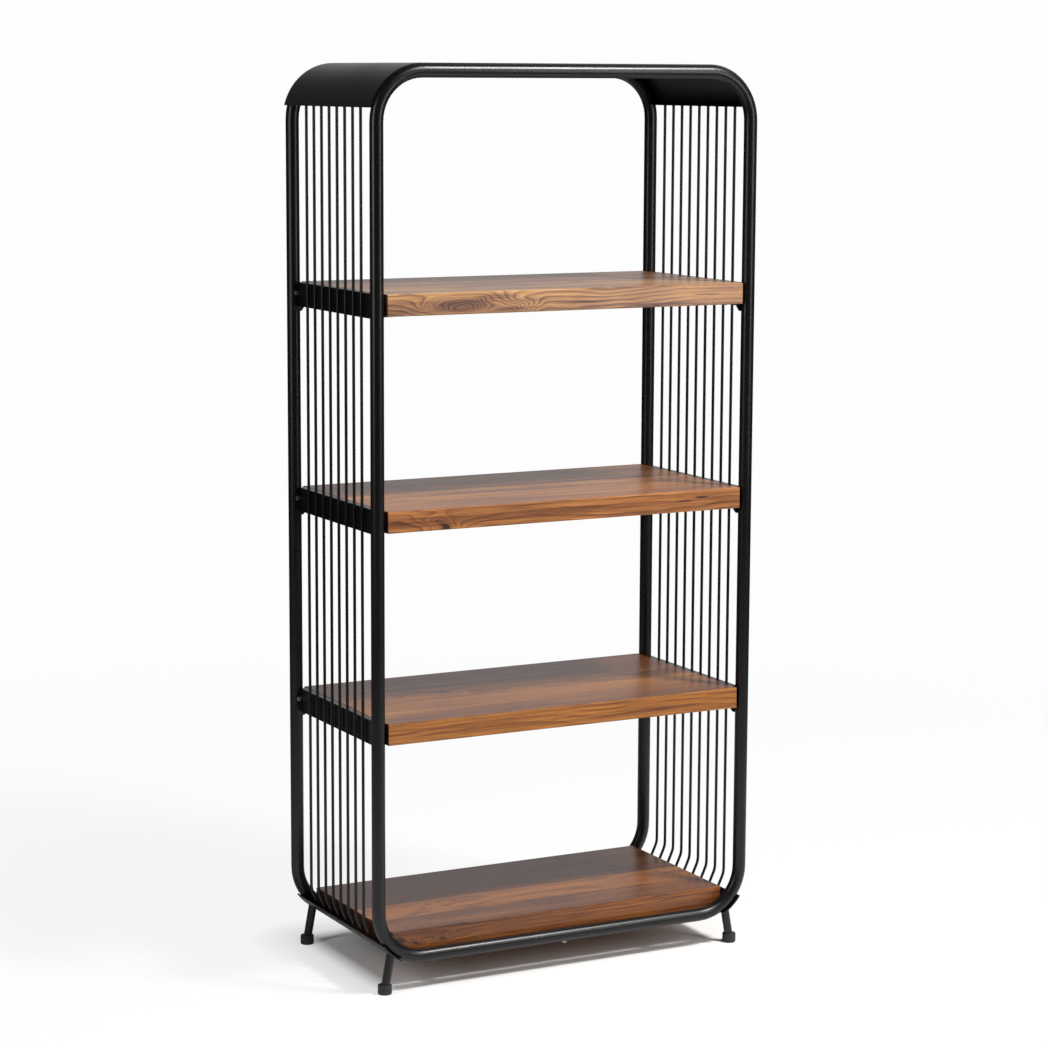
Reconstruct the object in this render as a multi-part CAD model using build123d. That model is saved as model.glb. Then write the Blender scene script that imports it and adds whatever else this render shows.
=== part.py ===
from build123d import *
import os
from math import cos, radians, sin, sqrt, tan

# Free-standing bookcase: two round-tube hoops, slatted ends, a sheet hood over the top,
# three clamped wooden shelves, a fixed bottom shelf and four splayed legs.
# Millimetres. +X right, +Y back, +Z up. Origin on the floor at the middle of the footprint.

# ---- hoops -------------------------------------------------------------------
TUBE_R = 12.5
TUBE_WALL = 1.5
HOOP_WIDTH = 775.0            # tube centre to tube centre
HOOP_SPACING = 375.0          # front hoop plane to rear hoop plane
HOOP_BOTTOM = 66.0            # centre line of the bottom run
HOOP_TOP = 1686.0             # centre line of the top run
BEND_R = 90.0                 # centre-line radius of every corner
SEAM_X = -30.0                # the two halves of a hoop meet here, top and bottom
SPIGOT_LENGTH = 90.0          # half of it in each half of the hoop
SPIGOT_WALL = 2.0
LOCK_SCREW_X = 0.0
LOCK_SCREW_R = 2.5
LOCK_HEAD_R = 5.0
LOCK_HEAD_H = 2.5
LOCK_SHANK = 6.0
HEAD_DOME = 0.6               # share of a screw head's height that is rounded off

# ---- hood --------------------------------------------------------------------
SHEET = 1.5
HOOD_EDGE = 1621.0            # height of its two lower edges
HOOD_LIP_INNER = 4.0          # how far inside the tube centre line its lip reaches
LIP_END_GAP = 1.0             # lip end to tube, front and back

# ---- end bars ----------------------------------------------------------------
BAR_R = 2.75
LEFT_BARS = 8
LEFT_BAR_SPAN = 242.0         # first bar to last bar
RIGHT_BARS = 9
RIGHT_BAR_SPAN = 262.0
BAR_BEND_R = 38.0
BAR_BEND_Z = 134.0            # where a bar starts to turn in
BAR_TURN = 25.0               # degrees
BAR_TAIL = 60.0               # past the bend, before it is cut to the foot plate

# ---- foot plates, legs and caps ----------------------------------------------
PLATE = 2.5
PLATE_START = 35.0            # degrees below horizontal, about the corner's centre
PLATE_END = 62.0
LEG_R = 8.0
LEG_INSET_Y = 8.0             # inside the hoop plane
FOOT_INSET_X = 14.0           # inside the tube centre line, at the floor
LEG_LEAN = 10.5               # degrees, outward in X
LEG_BOTTOM = 6.0
CAP_R = 13.0
CAP_H = 18.0
CAP_ROUND = 2.0

# ---- wooden shelves ----------------------------------------------------------
BOARD = 40.0
BOARD_ROUND = 2.0
SHELF_END_INSET = 16.0        # board end inside the tube centre line
SHELF_FRONT = 9.0             # board front ahead of the front hoop plane
SHELF_TOPS = {"upper": 1292.0, "middle": 901.5, "lower": 511.0}
BOTTOM_TOP = 112.0
BOTTOM_END_INSET = 33.0
BOTTOM_EDGE_GAP = 1.0         # board edge to hoop tube

# ---- shelf rails -------------------------------------------------------------
RAIL_WIDTH = 12.0
RAIL_WALL = 2.0
RAIL_TOP_STEP = 0.5           # rail top below the board's top
RAIL_DROP = 6.0               # web's lower edge below the board's bottom
FLANGE = 3.0                  # thickness under the board, tabs included
EAR = 3.0                     # thickness of the ear at each rail end
EAR_GAP = 0.5                 # ear to tube, so the shelf can be slid
EAR_WIDTH = 22.0
EAR_TOP_CUT = 11.0
EAR_FOOT_CUT = 6.0
EAR_DROPS = {"upper": 15.0, "middle": 13.0, "lower": 13.0}
BOLT_X = 1.0                  # bolt axis outside the tube centre line
BOLT_R = 3.0
BOLT_HEAD_R = 4.5
BOLT_HEAD_H = 3.0
BOLT_HEAD_ROUND = 0.75
SOCKET_R = 2.3
SOCKET_DEPTH = 1.8
TAB_REACH = 25.0
TAB_WIDTH = 30.0
TAB_Y = 150.0
SCREW_INSET = 12.0            # screw axis inside the board's end
SCREW_R = 2.0
SCREW_LENGTH = 22.0
SCREW_HEAD_R = 4.0
SCREW_HEAD_H = 2.0

# ---- bottom shelf supports ---------------------------------------------------
SUPPORT_X = 230.0
SUPPORT_WIDTH = 25.0
SUPPORT_THICK = 4.0
SUPPORT_SCREW_Y = 110.0

TUBE_X = HOOP_WIDTH / 2
HOOP_Y = HOOP_SPACING / 2
BEND_X = TUBE_X - BEND_R
LOW_BEND_Z = HOOP_BOTTOM + BEND_R
SKIN_R = BEND_R + TUBE_R      # corner radius of anything laid on the outside of the hoops
EAR_FACE = HOOP_Y - TUBE_R - EAR_GAP
SHELF_X = TUBE_X - SHELF_END_INSET
SIDES = {"left": -1, "right": 1}
ENDS = {"front": -1, "rear": 1}


def save(name, shape):
    export_step(shape, f"parts/{name}.step")


def upright(profile, y_low, y_high):
    """Extrude a profile drawn in X and Z between two Y planes."""
    face = Plane.XZ * profile
    return Pos(0, y_high, 0) * extrude(face, amount=y_high - y_low, dir=(0, -1, 0))


def mirrored(shape, side):
    """A part drawn for the right-hand end, moved to the end asked for."""
    return shape if SIDES[side] > 0 else mirror(shape, about=Plane.YZ)


def rod(path, radius, wall=None):
    """Sweep a round bar or tube along a path."""
    section = Circle(radius)
    if wall:
        section -= Circle(radius - wall)
    return sweep(Plane(origin=path @ 0, z_dir=path % 0) * section, path=path)


def along_y(radius, y_low, y_high, x, z):
    """A cylinder lying along Y."""
    middle = (y_low + y_high) / 2
    return Pos(x, middle, z) * Rot(90, 0, 0) * Cylinder(radius, y_high - y_low)


def along_x(radius, length, y, z, x=0.0):
    """A cylinder lying along X."""
    return Pos(x, y, z) * Rot(0, 90, 0) * Cylinder(radius, length)


def along_z(radius, z_low, z_high, x, y):
    """An upright cylinder."""
    return Pos(x, y, (z_low + z_high) / 2) * Cylinder(radius, z_high - z_low)


# ---- hoops -------------------------------------------------------------------
def hoop_half(side, y):
    """Half a hoop: a bent tube from the top seam round one end to the bottom seam."""
    sign = SIDES[side]
    outline = FilletPolyline(
        (SEAM_X, HOOP_TOP),
        (sign * TUBE_X, HOOP_TOP),
        (sign * TUBE_X, HOOP_BOTTOM),
        (SEAM_X, HOOP_BOTTOM),
        radius=BEND_R,
    )
    half = Pos(0, y, 0) * rod(Plane.XZ * outline, TUBE_R, TUBE_WALL)
    return half - lock_hole(y) if side == "right" else half


def lock_hole(y):
    """Hole up into the bottom run of a hoop, through its wall and the spigot's."""
    return along_z(LOCK_SCREW_R, HOOP_BOTTOM - TUBE_R, HOOP_BOTTOM, LOCK_SCREW_X, y)


def spigot(y, z):
    """Sleeve that plugs one half of a hoop into the other."""
    outer = TUBE_R - TUBE_WALL
    sleeve = along_x(outer, SPIGOT_LENGTH, y, z, SEAM_X)
    return sleeve - along_x(outer - SPIGOT_WALL, HOOP_WIDTH, y, z)


def lock_screw(y):
    """Screw up through the bottom run into the spigot."""
    seat = HOOP_BOTTOM - TUBE_R
    head = along_z(LOCK_HEAD_R, seat - LOCK_HEAD_H, seat, LOCK_SCREW_X, y)
    head = fillet(head.faces().sort_by(Axis.Z)[0].edges(), LOCK_HEAD_H * HEAD_DOME)
    return head + along_z(LOCK_SCREW_R, seat, seat + LOCK_SHANK, LOCK_SCREW_X, y)


# ---- hood --------------------------------------------------------------------
def hood():
    """Sheet bent over the top of both hoops, with a lip turned in along each lower edge."""
    height = HOOP_TOP - HOOP_BOTTOM
    middle = (HOOP_TOP + HOOP_BOTTOM) / 2
    outer = RectangleRounded(
        HOOP_WIDTH + 2 * (TUBE_R + SHEET), height + 2 * (TUBE_R + SHEET), SKIN_R + SHEET
    )
    inner = RectangleRounded(HOOP_WIDTH + 2 * TUBE_R, height + 2 * TUBE_R, SKIN_R)
    keep = Pos(0, HOOD_EDGE + height / 2) * Rectangle(2 * HOOP_WIDTH, height)
    band = (Pos(0, middle) * (outer - inner)) & keep
    sheet = upright(band, -HOOP_Y, HOOP_Y + TUBE_R)
    bend_z = HOOP_TOP - BEND_R
    sheet_x = BEND_X + sqrt(SKIN_R**2 - (HOOD_EDGE - bend_z) ** 2)
    lip_in = TUBE_X - HOOD_LIP_INNER
    lip_out = sheet_x + SHEET / 2
    lip_end = HOOP_Y - TUBE_R - LIP_END_GAP
    lip = Pos((lip_in + lip_out) / 2, HOOD_EDGE + SHEET / 2) * Rectangle(lip_out - lip_in, SHEET)
    right_lip = upright(lip, -lip_end, lip_end)
    return sheet + right_lip + mirrored(right_lip, "left")


# ---- end bars ----------------------------------------------------------------
def corner_band(thickness):
    """Slice of ring on the outside of a lower corner, between the foot plate's two ends."""
    reach = 2 * SKIN_R
    start, end = radians(-PLATE_START), radians(-PLATE_END)
    sector = make_face(Polyline(
        (0, 0),
        (reach * cos(start), reach * sin(start)),
        (reach * cos(end), reach * sin(end)),
        close=True,
    ))
    ring = Circle(SKIN_R + thickness) - Circle(SKIN_R)
    return Pos(BEND_X, LOW_BEND_Z) * (ring & sector)


def bar():
    """One end bar: straight down from the hood's lip, then turned in to the foot plate."""
    straight = Line((TUBE_X, HOOD_EDGE), (TUBE_X, BAR_BEND_Z))
    curve = CenterArc((TUBE_X - BAR_BEND_R, BAR_BEND_Z), BAR_BEND_R, 0, -BAR_TURN)
    tail = Line(curve @ 1, curve @ 1 + curve % 1 * BAR_TAIL)
    whole = rod(Plane.XZ * Wire([straight, curve, tail]), BAR_R)
    return whole - upright(corner_band(BAR_TAIL), -2 * BAR_R, 2 * BAR_R)


def bar_set(side, count, span):
    one = mirrored(bar(), side)
    pitch = span / (count - 1)
    return Compound([Pos(0, i * pitch - span / 2, 0) * one for i in range(count)])


# ---- foot plates, legs and caps ----------------------------------------------
def foot_plate():
    """Curved plate laid under the corners of both hoops, carrying the bars and the legs."""
    full_y = HOOP_Y + TUBE_R
    return upright(corner_band(PLATE), -full_y, full_y)


def leg_rod(sign_y):
    """Right-hand leg as a plain rod, running on through the foot plate."""
    axis = Pos(TUBE_X - FOOT_INSET_X, sign_y * (HOOP_Y - LEG_INSET_Y), 0) * Rot(0, -LEG_LEAN, 0)
    return axis * along_z(LEG_R, LEG_BOTTOM, LOW_BEND_Z, 0, 0)


def leg(sign_y):
    """Right-hand leg, its top shaped to the outside of the foot plate."""
    full_y = HOOP_Y + TUBE_R
    return leg_rod(sign_y) - along_y(SKIN_R + PLATE, -full_y, full_y, BEND_X, LOW_BEND_Z)


def foot_cap(sign_y):
    """Right-hand rubber cap, level with the floor, on the leaning end of the leg."""
    x = TUBE_X - FOOT_INSET_X - CAP_H / 2 * tan(radians(LEG_LEAN))
    cap = along_z(CAP_R, 0, CAP_H, x, sign_y * (HOOP_Y - LEG_INSET_Y))
    cap = fillet(cap.edges().filter_by(GeomType.CIRCLE), CAP_ROUND)
    return cap - leg_rod(sign_y)


# ---- wooden shelves ----------------------------------------------------------
def board(half_x, y_low, y_high, top, screw_points):
    """A solid board with eased edges and pilot holes in its underside."""
    middle = Pos(0, (y_low + y_high) / 2, top - BOARD / 2)
    plank = fillet((middle * Box(2 * half_x, y_high - y_low, BOARD)).edges(), BOARD_ROUND)
    under = top - BOARD
    for x, y in screw_points:
        plank -= along_z(SCREW_R, under, under + SCREW_LENGTH, x, y)
    return plank


def wood_screw(x, y, under, clamped):
    """Screw up into a board, its head under a metal part of the given thickness."""
    seat = under - clamped
    head = along_z(SCREW_HEAD_R, seat - SCREW_HEAD_H, seat, x, y)
    head = fillet(head.faces().sort_by(Axis.Z)[0].edges(), SCREW_HEAD_H * HEAD_DOME)
    return head + along_z(SCREW_R, seat, under + SCREW_LENGTH, x, y)


def shelf_screw_points():
    x = SHELF_X - SCREW_INSET
    return [(sx * x, sy * TAB_Y) for sx in (-1, 1) for sy in (-1, 1)]


# ---- shelf rails -------------------------------------------------------------
def ear(top, drop):
    """Flat ear at the rear end of a right-hand rail, with one upper and one lower corner cut off."""
    low = top - BOARD - drop
    inner, outer = SHELF_X, SHELF_X + EAR_WIDTH
    plate = make_face(Polyline(
        (inner, top - RAIL_TOP_STEP),
        (outer - EAR_TOP_CUT, top - RAIL_TOP_STEP),
        (outer, top - RAIL_TOP_STEP - EAR_TOP_CUT),
        (outer, low),
        (inner + EAR_FOOT_CUT, low),
        (inner, top - BOARD - RAIL_DROP),
        close=True,
    ))
    shape = upright(plate, EAR_FACE - EAR, EAR_FACE)
    bolt_z = top - BOARD / 2
    return shape - along_y(BOLT_R, EAR_FACE - EAR, EAR_FACE, TUBE_X + BOLT_X, bolt_z)


def rail(top, drop):
    """Right-hand rail: a web and two flanges against the board's end, two ears, two screw tabs."""
    high = top - RAIL_TOP_STEP
    under = top - BOARD
    low = under - RAIL_DROP
    length = 2 * (EAR_FACE - EAR)
    web_x = SHELF_X + RAIL_WIDTH - RAIL_WALL / 2
    flange_x = SHELF_X + RAIL_WIDTH / 2
    shape = Pos(web_x, 0, (high + low) / 2) * Box(RAIL_WALL, length, high - low)
    shape += Pos(flange_x, 0, high - RAIL_WALL / 2) * Box(RAIL_WIDTH, length, RAIL_WALL)
    shape += Pos(flange_x, 0, under - FLANGE / 2) * Box(RAIL_WIDTH, length, FLANGE)
    rear_ear = ear(top, drop)
    shape = shape + rear_ear + mirror(rear_ear, about=Plane.XZ)
    for y in (-TAB_Y, TAB_Y):
        shape += Pos(SHELF_X - TAB_REACH / 2, y, under - FLANGE / 2) * Box(TAB_REACH, TAB_WIDTH, FLANGE)
        shape -= along_z(SCREW_R, under - FLANGE, under, SHELF_X - SCREW_INSET, y)
    return shape


def clamp_bolt(top):
    """Right rear clamp bolt: socket head inside the ear, shank ending at the ear's face."""
    x, z = TUBE_X + BOLT_X, top - BOARD / 2
    face = EAR_FACE - EAR
    head = along_y(BOLT_HEAD_R, face - BOLT_HEAD_H, face, x, z)
    head = fillet(head.faces().sort_by(Axis.Y)[0].edges(), BOLT_HEAD_ROUND)
    socket = Pos(x, 0, z) * (Plane.XZ * RegularPolygon(SOCKET_R, 6))
    mouth = face - BOLT_HEAD_H
    head -= Pos(0, mouth + SOCKET_DEPTH, 0) * extrude(socket, amount=SOCKET_DEPTH, dir=(0, -1, 0))
    return head + along_y(BOLT_R, face, EAR_FACE, x, z)


def clamp_bolts(top):
    right = [clamp_bolt(top), mirror(clamp_bolt(top), about=Plane.XZ)]
    return Compound(right + [mirrored(bolt, "left") for bolt in right])


# ---- bottom shelf supports ---------------------------------------------------
def support(sign):
    """Flat bar under the bottom shelf, coped to the front and rear tubes."""
    under = BOTTOM_TOP - BOARD
    strip = Pos(sign * SUPPORT_X, 0, under - SUPPORT_THICK / 2)
    strip *= Box(SUPPORT_WIDTH, 2 * HOOP_Y, SUPPORT_THICK)
    for y in (-HOOP_Y, HOOP_Y):
        strip -= along_x(TUBE_R, HOOP_WIDTH, y, HOOP_BOTTOM)
    for y in (-SUPPORT_SCREW_Y, SUPPORT_SCREW_Y):
        strip -= along_z(SCREW_R, under - SUPPORT_THICK, under, sign * SUPPORT_X, y)
    return strip


def bottom_screw_points():
    return [(sx * SUPPORT_X, sy * SUPPORT_SCREW_Y) for sx in (-1, 1) for sy in (-1, 1)]


os.makedirs("parts", exist_ok=True)

for end, sign_y in ENDS.items():
    for side in SIDES:
        save(f"{end}_hoop_{side}", hoop_half(side, sign_y * HOOP_Y))
        save(f"leg_{end}_{side}", mirrored(leg(sign_y), side))
        save(f"foot_cap_{end}_{side}", mirrored(foot_cap(sign_y), side))

hoop_planes = [sign_y * HOOP_Y for sign_y in ENDS.values()]
spigot_holes = [lock_hole(y) for y in hoop_planes]
bottom_spigots = [spigot(y, HOOP_BOTTOM) - hole for y, hole in zip(hoop_planes, spigot_holes)]
save("hoop_spigots", Compound([spigot(y, HOOP_TOP) for y in hoop_planes] + bottom_spigots))
save("hoop_lock_screws", Compound([lock_screw(y) for y in hoop_planes]))

save("top_hood", hood())
save("left_bars", bar_set("left", LEFT_BARS, LEFT_BAR_SPAN))
save("right_bars", bar_set("right", RIGHT_BARS, RIGHT_BAR_SPAN))
for side in SIDES:
    save(f"foot_plate_{side}", mirrored(foot_plate(), side))

board_y = HOOP_Y - TUBE_R - BOTTOM_EDGE_GAP
bottom_x = TUBE_X - BOTTOM_END_INSET
save("bottom_shelf", board(bottom_x, -board_y, board_y, BOTTOM_TOP, bottom_screw_points()))
for side, sign in SIDES.items():
    save(f"bottom_support_{side}", support(sign))
save("bottom_shelf_screws", Compound([
    wood_screw(x, y, BOTTOM_TOP - BOARD, SUPPORT_THICK) for x, y in bottom_screw_points()
]))

for level, top in SHELF_TOPS.items():
    save(f"shelf_{level}", board(SHELF_X, -HOOP_Y - SHELF_FRONT, HOOP_Y, top, shelf_screw_points()))
    for side in SIDES:
        save(f"rail_{level}_{side}", mirrored(rail(top, EAR_DROPS[level]), side))
    save(f"clamp_bolts_{level}", clamp_bolts(top))
    save(f"shelf_screws_{level}", Compound([
        wood_screw(x, y, top - BOARD, FLANGE) for x, y in shelf_screw_points()
    ]))
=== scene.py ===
from math import cos, pi, radians, sin, sqrt

import bmesh
import bpy
from mathutils import Matrix, Vector


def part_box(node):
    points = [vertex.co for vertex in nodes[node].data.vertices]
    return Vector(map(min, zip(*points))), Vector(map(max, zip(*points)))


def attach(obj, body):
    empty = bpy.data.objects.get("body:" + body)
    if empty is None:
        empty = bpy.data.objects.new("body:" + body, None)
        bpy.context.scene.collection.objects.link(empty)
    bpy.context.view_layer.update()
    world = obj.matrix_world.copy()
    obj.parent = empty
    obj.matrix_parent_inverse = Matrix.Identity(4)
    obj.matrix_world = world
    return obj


# Looks for the bookcase: powder-coated steel, lacquered solid timber, rubber caps, weld beads,
# a pale floor, soft studio light and the camera. Metres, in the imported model's own frame.

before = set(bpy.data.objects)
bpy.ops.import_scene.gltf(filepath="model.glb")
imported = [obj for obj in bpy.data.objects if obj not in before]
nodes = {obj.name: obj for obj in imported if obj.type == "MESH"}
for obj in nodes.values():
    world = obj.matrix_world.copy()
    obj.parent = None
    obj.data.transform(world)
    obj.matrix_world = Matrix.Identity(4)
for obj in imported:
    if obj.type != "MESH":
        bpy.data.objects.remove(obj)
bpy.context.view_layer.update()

SIDES = {"left": -1, "right": 1}
ENDS = {"front": -1, "rear": 1}

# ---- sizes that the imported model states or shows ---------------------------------
TUBE_R = 0.0125
TUBE_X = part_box("front_hoop_right")[1].x - TUBE_R
HOOP_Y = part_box("rear_hoop_right")[1].y - TUBE_R
BEND_R = 0.090
BEND_X = TUBE_X - BEND_R
LOW_BEND_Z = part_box("front_hoop_right")[0].z + TUBE_R + BEND_R
BAR_R = 0.00275
BAR_COUNTS = {"left": 8, "right": 9}
BAR_BEND_R = 0.038
BAR_BEND_Z = 0.134
BAR_TURN = radians(25.0)
SKIN_R = BEND_R + TUBE_R
PLATE = 0.0025
LEG_R = 0.008
LEG_LEAN = radians(10.5)
FOOT_INSET_X = 0.014          # inside the tube's centre line, where the leg's axis meets the floor
LEG_INSET_Y = 0.008           # inside the hoop's plane

# ---- sizes of the looks alone ----------------------------------------------------
BAR_BEAD = 0.0013             # reach of a weld bead
LEG_BEAD = 0.0022
BAR_BEAD_POINTS = 20          # round one bead
LEG_BEAD_POINTS = 28
BEAD_STEPS = 6                # across one bead
GLUE_HALF = 0.00022           # half a glue line's width
FACE_DEPTH = 0.0008           # how deep the front face's tone goes
END_DEPTH = 0.0012            # how deep the end grain's tone goes
BRINK = 0.003                 # how far the worn gloss reaches from the front top edge
FLOOR_R = 9.0
SHADE_X = (-0.335, 0.41)      # the floor under the unit, which keeps its full shadow
SHADE_Y = 0.20

# ---- camera ----------------------------------------------------------------------
CAMERA_AT = (-2.5904, -4.9569, 1.679)
CAMERA_LENS = 101.43          # mm, on a 36 mm sensor
CAMERA_YAW, CAMERA_PITCH, CAMERA_ROLL = 0.48283, 0.15092, 0.00441


# ==== node building ===============================================================
class Graph:
    """A short way to write shader node trees."""

    def __init__(self, tree):
        tree.nodes.clear()
        self.tree = tree

    def node(self, kind, **props):
        made = self.tree.nodes.new(kind)
        for key, value in props.items():
            setattr(made, key, value)
        return made

    def feed(self, socket, value):
        if isinstance(value, bpy.types.NodeSocket):
            self.tree.links.new(value, socket)
        elif value is not None:
            socket.default_value = value

    def math(self, op, a, b=None, c=None, clamp=False):
        made = self.node("ShaderNodeMath", operation=op, use_clamp=clamp)
        for socket, value in zip(made.inputs, (a, b, c)):
            self.feed(socket, value)
        return made.outputs[0]

    def vector(self, op, a, b=None):
        made = self.node("ShaderNodeVectorMath", operation=op)
        self.feed(made.inputs[0], a)
        self.feed(made.inputs[1], b)
        return made.outputs["Value" if op == "LENGTH" else "Vector"]

    def split(self, vector):
        made = self.node("ShaderNodeSeparateXYZ")
        self.feed(made.inputs[0], vector)
        return made.outputs

    def noise(self, vector, scale, detail=2.0, rough=0.5, output="Fac"):
        """Noise over a vector; scale is one number or one for each axis, in cells a metre."""
        if isinstance(scale, tuple):
            vector = self.vector("MULTIPLY", vector, scale)
            scale = 1.0
        made = self.node("ShaderNodeTexNoise", noise_dimensions="3D")
        self.feed(made.inputs["Vector"], vector)
        self.feed(made.inputs["Scale"], scale)
        self.feed(made.inputs["Detail"], detail)
        self.feed(made.inputs["Roughness"], rough)
        return made.outputs[output]

    def ramp(self, fac, stops, smooth=False):
        made = self.node("ShaderNodeValToRGB")
        ramp = made.color_ramp
        ramp.interpolation = "EASE" if smooth else "LINEAR"
        while len(ramp.elements) < len(stops):
            ramp.elements.new(0.5)
        for element, (place, colour) in zip(ramp.elements, stops):
            element.position = place
            element.color = colour if isinstance(colour, tuple) else (colour, colour, colour, 1)
        self.feed(made.inputs[0], fac)
        return made.outputs[0]

    def mix(self, fac, a, b):
        made = self.node("ShaderNodeMix", data_type="RGBA")
        self.feed(made.inputs[0], fac)
        self.feed(made.inputs[6], a)
        self.feed(made.inputs[7], b)
        return made.outputs[2]

    def bump(self, height, distance, strength):
        made = self.node("ShaderNodeBump")
        self.feed(made.inputs["Height"], height)
        made.inputs["Distance"].default_value = distance
        made.inputs["Strength"].default_value = strength
        return made.outputs[0]

    def surface(self, colour, roughness, normal, **fixed):
        """A Principled surface; fixed holds numbers set on its own sockets."""
        shader = self.node("ShaderNodeBsdfPrincipled")
        self.feed(shader.inputs["Base Color"], colour)
        self.feed(shader.inputs["Roughness"], roughness)
        self.feed(shader.inputs["Normal"], normal)
        for key, value in fixed.items():
            shader.inputs[key.replace("_", " ")].default_value = value
        out = self.node("ShaderNodeOutputMaterial")
        self.tree.links.new(shader.outputs[0], out.inputs["Surface"])


def material(name):
    made = bpy.data.materials.new(name)
    made.use_nodes = True
    return made, Graph(made.node_tree)


def place(graph):
    """The point on the object, in the row frame at rest."""
    return graph.node("ShaderNodeTexCoord").outputs["Object"]


def rgba(r, g, b):
    return (r, g, b, 1.0)


# ==== metal, rubber ===============================================================
def powder_coat(name, colour, roughness, peel, sheen_spot):
    """Satin powder coat: fine orange peel, slow changes of gloss and tone, and faint spots of painted
    sheen.
    """
    made, g = material(name)
    point = place(g)
    peel_height = g.noise(point, 900.0, 2.0, 0.6)
    grain = g.noise(point, 2600.0, 1.0, 0.5)
    slow = g.noise(point, (6.0, 6.0, 3.0), 3.0, 0.6)
    # Painted sheen: random spots mixed part of the way from the black towards a lighter blue-grey.
    painted_sheen = g.ramp(g.noise(point, 55.0, 4.0, 0.7), [(0.62, 0.0), (0.78, 1.0)])
    tone = g.mix(g.math("MULTIPLY", painted_sheen, sheen_spot), rgba(*colour), rgba(0.05, 0.05, 0.052))
    tone = g.mix(g.math("MULTIPLY", slow, 0.4), tone, rgba(*[c * 1.7 for c in colour]))
    gloss = g.math("MULTIPLY_ADD", slow, 0.14, roughness - 0.07)
    gloss = g.math("MULTIPLY_ADD", grain, 0.05, gloss)
    height = g.math("MULTIPLY_ADD", grain, 0.35, peel_height)
    g.surface(tone, gloss, g.bump(height, peel, 0.35), Specular_IOR_Level=0.38)
    return made


def rubber(name):
    made, g = material(name)
    point = place(g)
    pebble = g.noise(point, 1400.0, 3.0, 0.6)
    scuff = g.ramp(g.noise(point, (60.0, 60.0, 220.0), 4.0, 0.7), [(0.5, 0.0), (0.75, 1.0)])
    low = g.ramp(g.split(point)[2], [(0.0, 1.0), (0.008, 0.0)])
    dust = g.math("MULTIPLY", scuff, g.math("MULTIPLY_ADD", low, 0.5, 0.15))
    tone = g.mix(dust, rgba(0.016, 0.016, 0.017), rgba(0.09, 0.085, 0.08))
    gloss = g.math("MULTIPLY_ADD", scuff, 0.15, 0.6)
    g.surface(tone, gloss, g.bump(pebble, 0.0002, 0.5), Specular_IOR_Level=0.4)
    return made


def zinc(name):
    """Zinc-plated fasteners, brushed round, with dark spangle."""
    made, g = material(name)
    point = place(g)
    spangle = g.noise(point, 420.0, 3.0, 0.7)
    scratch = g.noise(point, (300.0, 300.0, 4000.0), 2.0, 0.6)
    tone = g.mix(g.ramp(spangle, [(0.35, 0.0), (0.7, 1.0)]), rgba(0.3, 0.3, 0.31), rgba(0.6, 0.6, 0.6))
    gloss = g.math("MULTIPLY_ADD", scratch, 0.2, 0.22)
    g.surface(tone, gloss, g.bump(scratch, 0.0001, 0.3), Metallic=1.0)
    return made


# ==== timber ======================================================================
def knot_field(g, point, knots):
    """Sum of soft bumps that bend the growth rings round each knot, and the knots' dark cores."""
    swell, core = 0.0, 0.0
    for centre, size, rings, dark in knots:
        away = g.vector("SUBTRACT", point, centre)
        away = g.vector("DIVIDE", away, size)
        away = g.vector("LENGTH", away)
        bell = g.math("EXPONENT", g.math("MULTIPLY", g.math("MULTIPLY", away, away), -0.5))
        swell = g.math("MULTIPLY_ADD", bell, rings, swell)
        tight = g.math("POWER", bell, 7.0)
        core = g.math("MULTIPLY_ADD", tight, dark, core)
    return swell, core


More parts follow.
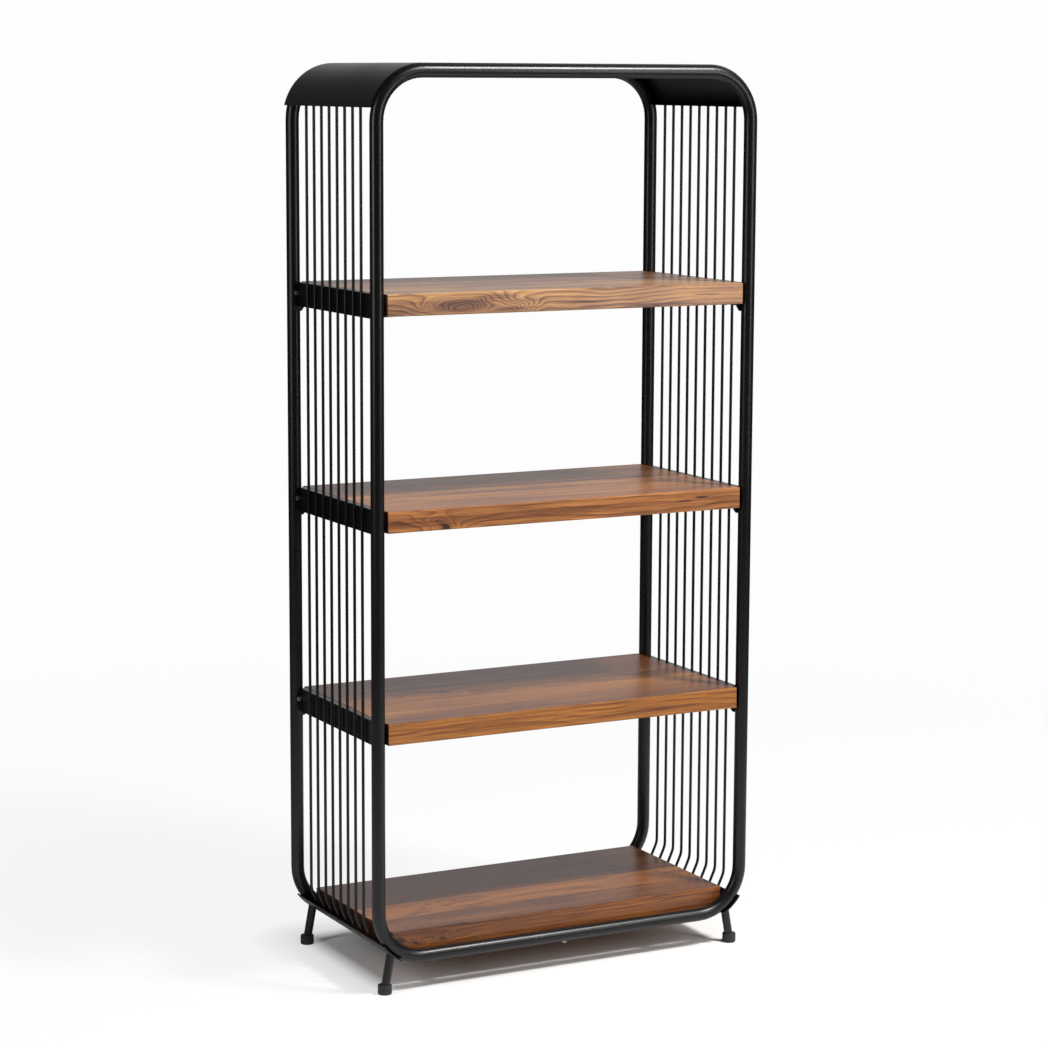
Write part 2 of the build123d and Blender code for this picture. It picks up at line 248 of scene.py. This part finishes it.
def timber(name, seed, staves, tones, shades, knots=(), streaks=(), ring=0.0075, pith=0.09,
           face=0.0, contrast=1.0, grain=0.45):
    """Lacquered solid wood of edge-glued staves.

    staves: Y of each glue line, front to back. tones: how dark each stave is; the rear staves are
    darker, partly as stave colour and partly as painted shade from the part above.
    shades: dark, brown, gold and pale colours. knots: centre, size, rings, darkness.
    streaks: centre, size and strength of dark heartwood streaks.
    ring: width of a growth ring. pith: how far the rings' centre lies below the board.
    face: how much lighter the front face is than its stave.
    contrast: strength of the bands, clouds and rings. grain: strength of the fine fibres.
    """
    made, g = material(name)
    point = place(g)
    x, y, z = g.split(point)
    low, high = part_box(name)
    count, tone = 0.0, tones[0]
    # Stave tones: the darker rear staves are partly painted shade, where the shelf or hood above
    # shades the rear of each top.
    for line, (before, after) in zip(staves, zip(tones, tones[1:])):
        past = g.math("GREATER_THAN", y, line)
        count = g.math("ADD", count, past)
        tone = g.math("MULTIPLY_ADD", past, after - before, tone)
    chance = g.node("ShaderNodeTexWhiteNoise", noise_dimensions="1D")
    g.feed(chance.inputs["W"], g.math("MULTIPLY_ADD", count, 3.17, seed))
    shift = g.vector("MULTIPLY", chance.outputs["Color"], (5.0, 0.9, 0.9))
    local = g.vector("ADD", point, shift)

    wave = g.noise(local, (1.3, 6.0, 6.0), 2.0, 0.5, "Color")
    wave = g.vector("MULTIPLY", wave, (0.0, 0.075, 0.075))
    ripple = g.noise(local, (5.5, 22.0, 22.0), 3.0, 0.55)
    wander = g.split(g.vector("ADD", point, wave))
    own = g.split(chance.outputs["Color"])
    twist = g.noise(local, (9.0, 30.0, 30.0), 1.0, 0.5, "Color")
    twist = g.vector("MULTIPLY", g.vector("SUBTRACT", twist, (0.5, 0.5, 0.5)), (0.14, 0.02, 0.026))
    swell, core = knot_field(g, g.vector("ADD", point, twist), knots)
    across = g.math("MULTIPLY_ADD", own[1], 0.1, g.math("SUBTRACT", wander[1], 0.08))
    depth = g.math("SUBTRACT", wander[2], low.z - pith)
    radius = g.math("SQRT", g.math("ADD", g.math("MULTIPLY", across, across),
                                   g.math("MULTIPLY", depth, depth)))
    radius = g.math("MULTIPLY_ADD", ripple, 0.014, radius)
    radius = g.math("ADD", radius, swell)
    phase = g.math("FRACT", g.math("DIVIDE", radius, ring))
    late = g.ramp(phase, [(0.0, 0.25), (0.12, 0.0), (0.6, 0.35), (0.9, 1.0), (1.0, 0.25)])

    fibre = g.noise(local, (7.0, 420.0, 420.0), 5.0, 0.7)
    band = g.noise(local, (1.1, 48.0, 48.0), 3.0, 0.6)
    cloud = g.noise(local, (2.2, 9.0, 9.0), 3.0, 0.6)
    pore = g.ramp(g.noise(local, (34.0, 1500.0, 1500.0), 1.0, 0.5), [(0.64, 0.0), (0.71, 1.0)])

    weight = g.ramp(g.noise(local, (3.0, 14.0, 14.0), 2.0), [(0.3, 0.25), (0.7, 1.0)])
    mark = g.math("MULTIPLY", late, weight)
    heart = 0.0
    for centre, size, strength in streaks:
        away = g.vector("DIVIDE", g.vector("SUBTRACT", point, centre), size)
        away = g.vector("LENGTH", away)
        inside = g.ramp(g.math("MULTIPLY_ADD", ripple, 0.9, away), [(0.75, 1.0), (1.5, 0.0)])
        heart = g.math("MULTIPLY_ADD", inside, strength, heart)

    ahead = g.math("LESS_THAN", y, low.y + FACE_DEPTH)
    end = g.math("GREATER_THAN", g.math("ABSOLUTE", x), high.x - END_DEPTH)
    light = g.math("MULTIPLY_ADD", ahead, face, g.math("SUBTRACT", 0.72, tone))
    light = g.math("MULTIPLY_ADD", g.math("SUBTRACT", band, 0.5), 0.75 * contrast, light)
    light = g.math("MULTIPLY_ADD", g.math("SUBTRACT", cloud, 0.5), 0.55 * contrast, light)
    light = g.math("MULTIPLY_ADD", g.math("SUBTRACT", fibre, 0.5), grain, light)
    light = g.math("MULTIPLY_ADD", mark, -0.34 * contrast, light)
    light = g.math("MULTIPLY_ADD", end, -0.38, light)
    light = g.math("SUBTRACT", light, heart)
    light = g.math("SUBTRACT", light, core, clamp=True)
    colour = g.ramp(light, [(0.02, rgba(*shades[0])), (0.35, rgba(*shades[1])),
                            (0.68, rgba(*shades[2])), (1.0, rgba(*shades[3]))])
    colour = g.mix(g.math("MULTIPLY", pore, 0.45), colour, rgba(*[c * 0.45 for c in shades[1]]))
    glue = 0.0
    for line in staves:
        off = g.math("ABSOLUTE", g.math("SUBTRACT", y, line))
        glue = g.math("MAXIMUM", glue, g.math("LESS_THAN", off, GLUE_HALF))
    colour = g.mix(g.math("MULTIPLY", glue, 0.6), colour, rgba(*[c * 0.4 for c in shades[0]]))

    gloss = g.math("MULTIPLY_ADD", fibre, 0.12, 0.3)
    gloss = g.math("MULTIPLY_ADD", pore, 0.15, gloss)
    brink = g.math("ADD", g.math("SUBTRACT", y, low.y), g.math("SUBTRACT", high.z, z))
    gloss = g.math("MULTIPLY_ADD", g.math("LESS_THAN", brink, BRINK), 0.4, gloss)
    relief = g.math("MULTIPLY_ADD", pore, -1.0, g.math("MULTIPLY", fibre, 0.35))
    relief = g.math("MULTIPLY_ADD", late, 0.25, relief)
    g.surface(colour, gloss, g.bump(relief, 0.00018, 0.55), Coat_Weight=0.05, Coat_Roughness=0.22,
              Specular_IOR_Level=0.45)
    return made


def dress(node, made):
    mesh = nodes[node].data
    mesh.materials.clear()
    mesh.materials.append(made)


coat = powder_coat("black_powder_coat", (0.0022, 0.0022, 0.0026), 0.31, 0.00012, 0.04)
sheet_coat = powder_coat("black_sheet_coat", (0.0022, 0.0022, 0.0026), 0.31, 0.00010, 0.03)
plain_rubber = rubber("black_rubber")
plated = zinc("zinc_plate")

for node in nodes:
    if node.startswith("foot_cap"):
        dress(node, plain_rubber)
    elif "screws" in node or "bolts" in node:
        dress(node, plated)
    elif node == "top_hood":
        dress(node, sheet_coat)
    elif not node.endswith("shelf") and not node.startswith("shelf_"):
        dress(node, coat)

# The rear staves' darker tones are partly painted shade: the shade that the shelf or hood above casts
# on the rear of each top.
TIMBERS = {
    "shelf_upper": dict(
        seed=1.3, staves=(-0.112, -0.02, 0.085), tones=(0.12, 0.2, 0.3, 0.26),
        shades=((0.06, 0.026, 0.021), (0.19, 0.085, 0.046), (0.45, 0.235, 0.09), (0.74, 0.47, 0.21)),
        knots=(((-0.215, -0.195, 1.262), (0.05, 0.06, 0.016), 0.06, 0.05),
               ((-0.11, -0.195, 1.256), (0.03, 0.06, 0.012), 0.035, 0.05)),
        streaks=(((-0.22, -0.196, 1.268), (0.12, 0.04, 0.022), 0.25),
                 ((-0.15, -0.196, 1.282), (0.09, 0.04, 0.008), 0.25),
                 ((-0.12, -0.196, 1.260), (0.07, 0.04, 0.008), 0.2),
                 ((0.02, -0.196, 1.266), (0.11, 0.03, 0.004), 0.3),
                 ((0.2, -0.196, 1.257), (0.14, 0.03, 0.005), 0.3),
                 ((0.29, -0.196, 1.273), (0.06, 0.03, 0.003), 0.25)),
        ring=0.0055, face=-0.04, contrast=1.3, grain=0.6),
    "shelf_middle": dict(
        seed=4.1, staves=(-0.105, 0.01, 0.1), tones=(0.22, 0.16, 0.32, 0.3),
        shades=((0.035, 0.011, 0.006), (0.17, 0.056, 0.016), (0.4, 0.155, 0.038), (0.58, 0.27, 0.08)),
        knots=(((-0.262, -0.195, 0.866), (0.018, 0.03, 0.009), 0.02, 0.9),
               ((-0.262, -0.195, 0.875), (0.04, 0.03, 0.016), 0.02, 0.1)),
        streaks=(((0.285, -0.196, 0.888), (0.035, 0.05, 0.005), 0.8),
                 ((0.245, -0.196, 0.883), (0.045, 0.05, 0.0035), 0.5)),
        face=0.06, contrast=1.15, grain=1.0),
    "shelf_lower": dict(
        seed=7.7, staves=(-0.12, -0.03, 0.06), tones=(0.3, 0.14, 0.24, 0.36),
        shades=((0.026, 0.008, 0.004), (0.14, 0.042, 0.011), (0.35, 0.13, 0.022), (0.52, 0.235, 0.05)),
        knots=(((-0.165, 0.02, 0.511), (0.03, 0.014, 0.03), 0.03, 0.6),),
        face=0.16, contrast=0.75, grain=1.1),
    "bottom_shelf": dict(
        seed=9.2, staves=(-0.095, -0.004, 0.09), tones=(0.3, 0.12, 0.4, 0.4),
        shades=((0.024, 0.007, 0.003), (0.12, 0.033, 0.007), (0.32, 0.11, 0.016), (0.48, 0.21, 0.05)),
        knots=(((-0.205, -0.03, 0.112), (0.02, 0.011, 0.03), 0.028, 0.3),
               ((-0.3, -0.174, 0.085), (0.012, 0.03, 0.006), 0.02, 0.7),
               ((-0.22, -0.174, 0.088), (0.012, 0.03, 0.006), 0.02, 0.4)),
        streaks=(((-0.345, -0.174, 0.095), (0.05, 0.05, 0.02), 0.35),),
        face=0.0, contrast=0.9, grain=0.9),
}
for board, look in TIMBERS.items():
    dress(board, timber(board, **look))


# ==== weld beads ==================================================================
def bead_mesh(name, rings):
    """Fillet beads; rings pairs each list of (point, outward, along) round a joint with a reach."""
    bm = bmesh.new()
    for ring, size in rings:
        rows = []
        for k, (point, outward, along) in enumerate(ring):
            lump = 1.0 + 0.10 * sin(5.0 * k)
            row = []
            for s in range(BEAD_STEPS + 1):
                angle = s / BEAD_STEPS * pi / 2
                reach = size * lump
                row.append(bm.verts.new(point + outward * (reach * (1 - sin(angle)))
                                        + along * (reach * (1 - cos(angle)))))
            row.append(bm.verts.new(point - outward * size * 0.3 - along * size * 0.3))
            rows.append(row)
        for a, b in zip(rows, rows[1:] + rows[:1]):
            for s in range(len(a)):
                t = (s + 1) % len(a)
                bm.faces.new((a[s], b[s], b[t], a[t]))
    bmesh.ops.recalc_face_normals(bm, faces=bm.faces)
    mesh = bpy.data.meshes.new(name)
    bm.to_mesh(mesh)
    bm.free()
    for face in mesh.polygons:
        face.use_smooth = True
    piece = bpy.data.objects.new(name, mesh)
    bpy.context.scene.collection.objects.link(piece)
    mesh.materials.append(coat)
    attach(piece, "frame")


def round_ring(centre, axis, radius, count):
    """Points round a bar that meets a flat face square on; axis points along the bar."""
    side = axis.orthogonal().normalized()
    other = axis.cross(side)
    ring = []
    for k in range(count):
        turn = 2 * pi * k / count
        out = side * cos(turn) + other * sin(turn)
        ring.append((centre + out * radius, out, axis))
    return ring


def skin_ring(start, way, rod_r, skin_r, sign_x, from_inside, count):
    """Where a round rod meets the foot plate's face, which is round about the corner's centre."""
    side = Vector((way.z, 0, -way.x))
    ring = []
    for k in range(count):
        turn = 2 * pi * k / count
        out = side * cos(turn) + Vector((0, 1, 0)) * sin(turn)
        edge = start + out * rod_r
        dx, dz = edge.x - sign_x * BEND_X, edge.z - LOW_BEND_Z
        b = dx * way.x + dz * way.z
        root = sqrt(b * b - dx * dx - dz * dz + skin_r**2)
        point = edge + way * (-b + root if from_inside else -b - root)
        inward = Vector((sign_x * BEND_X - point.x, 0, LOW_BEND_Z - point.z)).normalized()
        ring.append((point, (out - inward * out.dot(inward)).normalized(), -way))
    return ring


def bar_beads(side):
    sign = SIDES[side]
    low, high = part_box(f"{side}_bars")
    count = BAR_COUNTS[side]
    span = high.y - low.y - 2 * BAR_R
    knee_x = sign * (TUBE_X - BAR_BEND_R * (1 - cos(BAR_TURN)))
    knee_z = BAR_BEND_Z - BAR_BEND_R * sin(BAR_TURN)
    way = Vector((-sign * sin(BAR_TURN), 0, -cos(BAR_TURN)))
    rings = []
    for k in range(count):
        y = low.y + BAR_R + span * k / (count - 1)
        top = Vector((sign * TUBE_X, y, high.z))
        rings.append((round_ring(top, Vector((0, 0, -1)), BAR_R, BAR_BEAD_POINTS), BAR_BEAD))
        knee = Vector((knee_x, y, knee_z))
        rings.append((skin_ring(knee, way, BAR_R, SKIN_R, sign, True, BAR_BEAD_POINTS), BAR_BEAD))
    bead_mesh(f"weld_beads_{side}_bars", rings)


def leg_ring(sign_x, sign_y):
    foot = Vector((sign_x * (TUBE_X - FOOT_INSET_X), sign_y * (HOOP_Y - LEG_INSET_Y), 0))
    up = Vector((-sign_x * sin(LEG_LEAN), 0, cos(LEG_LEAN)))
    return skin_ring(foot, up, LEG_R, SKIN_R + PLATE, sign_x, False, LEG_BEAD_POINTS)


for side in SIDES:
    bar_beads(side)
leg_rings = [(leg_ring(sx, sy), LEG_BEAD) for sx in SIDES.values() for sy in ENDS.values()]
bead_mesh("weld_beads_legs", leg_rings)


# ==== stage, light and camera =====================================================
def floor():
    """A round pale floor that shows the unit's shadow under it; further out a glow seen only by the
    camera paints light over the cast shadow, and the floor fades into the white surround.
    """
    bm = bmesh.new()
    bmesh.ops.create_circle(bm, cap_ends=True, segments=96, radius=FLOOR_R)
    mesh = bpy.data.meshes.new("floor")
    bm.to_mesh(mesh)
    bm.free()
    made, g = material("pale_floor")
    point = place(g)
    speck = g.noise(point, 900.0, 2.0, 0.6)
    paint = g.node("ShaderNodeBsdfDiffuse")
    g.feed(paint.inputs["Color"], rgba(0.86, 0.86, 0.86))
    g.feed(paint.inputs["Normal"], g.bump(speck, 0.0001, 0.1))
    painted_glow = g.node("ShaderNodeEmission")
    g.feed(painted_glow.inputs["Color"], rgba(1.0, 1.0, 1.0))
    painted_glow.inputs["Strength"].default_value = 1.0
    x, y = g.split(point)[:2]
    out_x = g.math("MAXIMUM", g.math("SUBTRACT", SHADE_X[0], x), g.math("SUBTRACT", x, SHADE_X[1]))
    out_x = g.math("MAXIMUM", out_x, 0.0)
    out_y = g.math("MAXIMUM", g.math("SUBTRACT", g.math("ABSOLUTE", y), SHADE_Y), 0.0)
    away = g.math("SQRT", g.math("ADD", g.math("MULTIPLY", out_x, out_x),
                                 g.math("MULTIPLY", out_y, out_y)))
    # Painted light: away from the footprint, an emission seen only by the camera mixes in and lightens
    # the floor over the unit's cast shadow.
    painted_light_mix = g.node("ShaderNodeMixShader")
    seen = g.node("ShaderNodeLightPath").outputs["Is Camera Ray"]
    painted_light_amount = g.ramp(away, [(0.0, 0.0), (0.045, 0.6), (0.14, 0.86)])
    g.feed(painted_light_mix.inputs[0], g.math("MULTIPLY", painted_light_amount, seen))
    g.tree.links.new(paint.outputs[0], painted_light_mix.inputs[1])
    g.tree.links.new(painted_glow.outputs[0], painted_light_mix.inputs[2])
    clear = g.node("ShaderNodeBsdfTransparent")
    reach = g.math("DIVIDE", g.vector("LENGTH", point), FLOOR_R)
    far = g.ramp(reach, [(0.1, 0.0), (0.36, 1.0)], True)
    fade = g.node("ShaderNodeMixShader")
    g.feed(fade.inputs[0], far)
    g.tree.links.new(painted_light_mix.outputs[0], fade.inputs[1])
    g.tree.links.new(clear.outputs[0], fade.inputs[2])
    out = g.node("ShaderNodeOutputMaterial")
    g.tree.links.new(fade.outputs[0], out.inputs["Surface"])
    mesh.materials.append(made)
    plane = bpy.data.objects.new("floor", mesh)
    bpy.context.scene.collection.objects.link(plane)


def surround():
    """White studio: plain white to the eye; reflections see it bright behind and dim in front."""
    world = bpy.data.worlds.new("studio")
    world.use_nodes = True
    bpy.context.scene.world = world
    g = Graph(world.node_tree)
    direction = g.node("ShaderNodeTexCoord").outputs["Generated"]
    x, y, z = g.split(direction)
    across = g.ramp(g.math("MULTIPLY_ADD", x, 0.5, 0.5),
                    [(0.25, 0.04), (0.5, 0.16), (0.72, 0.76), (1.0, 0.4)])
    behind = g.ramp(g.math("MULTIPLY_ADD", y, 0.5, 0.5), [(0.5, 0.08), (0.85, 1.0)])
    height = g.ramp(g.math("MULTIPLY_ADD", z, 0.5, 0.5),
                    [(0.48, 0.1), (0.52, 1.0), (0.7, 0.9), (0.9, 0.25)])
    wall = g.math("MULTIPLY", g.math("MULTIPLY", across, behind), height)
    path = g.node("ShaderNodeLightPath")
    glossy = g.node("ShaderNodeBackground")
    g.feed(glossy.inputs["Color"], g.math("ADD", wall, 0.015))
    glossy.inputs["Strength"].default_value = 1.0
    soft = g.node("ShaderNodeBackground")
    ahead = g.ramp(g.math("MULTIPLY_ADD", y, -0.5, 0.5), [(0.2, 0.5), (0.8, 1.0)])
    g.feed(soft.inputs["Color"], ahead)
    soft.inputs["Strength"].default_value = 0.4
    seen = g.node("ShaderNodeBackground")
    g.feed(seen.inputs["Color"], rgba(0.985, 0.985, 0.985))
    seen.inputs["Strength"].default_value = 1.0
    first = g.node("ShaderNodeMixShader")
    g.feed(first.inputs[0], path.outputs["Is Glossy Ray"])
    g.tree.links.new(soft.outputs[0], first.inputs[1])
    g.tree.links.new(glossy.outputs[0], first.inputs[2])
    second = g.node("ShaderNodeMixShader")
    g.feed(second.inputs[0], path.outputs["Is Camera Ray"])
    g.tree.links.new(first.outputs[0], second.inputs[1])
    g.tree.links.new(seen.outputs[0], second.inputs[2])
    out = g.node("ShaderNodeOutputWorld")
    g.tree.links.new(second.outputs[0], out.inputs["Surface"])


def lamp(name, position, target, size, power, colour=(1.0, 1.0, 1.0)):
    data = bpy.data.lights.new(name, "AREA")
    data.shape = "RECTANGLE"
    data.size, data.size_y = size
    data.energy = power
    data.color = colour
    made = bpy.data.objects.new(name, data)
    made.location = position
    made.rotation_euler = (Vector(target) - Vector(position)).to_track_quat("-Z", "Y").to_euler()
    bpy.context.scene.collection.objects.link(made)


def camera():
    data = bpy.data.cameras.new("camera")
    data.sensor_width = 36.0
    data.lens = CAMERA_LENS
    data.clip_end = 60.0
    made = bpy.data.objects.new("camera", data)
    flat = Vector((sin(CAMERA_YAW), cos(CAMERA_YAW), 0.0))
    ahead = flat * cos(CAMERA_PITCH) - Vector((0.0, 0.0, sin(CAMERA_PITCH)))
    right = Vector((flat.y, -flat.x, 0.0))
    up = right.cross(ahead)
    tilted = right * cos(CAMERA_ROLL) + up * sin(CAMERA_ROLL)
    upright = up * cos(CAMERA_ROLL) - right * sin(CAMERA_ROLL)
    turn = Matrix((tilted, upright, -ahead)).transposed()
    made.matrix_world = Matrix.Translation(CAMERA_AT) @ turn.to_4x4()
    bpy.context.scene.collection.objects.link(made)
    bpy.context.scene.camera = made


floor()
surround()
middle = (0.0, 0.0, 0.85)
key_from = Vector((0.5, -0.65, 1.0)).normalized() * 4.6 + Vector(middle)
lamp("key", key_from, middle, (0.7, 0.7), 270.0, (1.0, 0.985, 0.96))
lamp("right_strip", (1.6, -2.55, 1.85), (0.0, 0.0, 1.85), (0.5, 1.9), 26.0)
lamp("left_strip", (-2.94, -0.57, 1.85), (0.0, 0.0, 1.85), (0.5, 1.9), 28.0)
camera()
bpy.context.scene.view_settings.view_transform = "Standard"
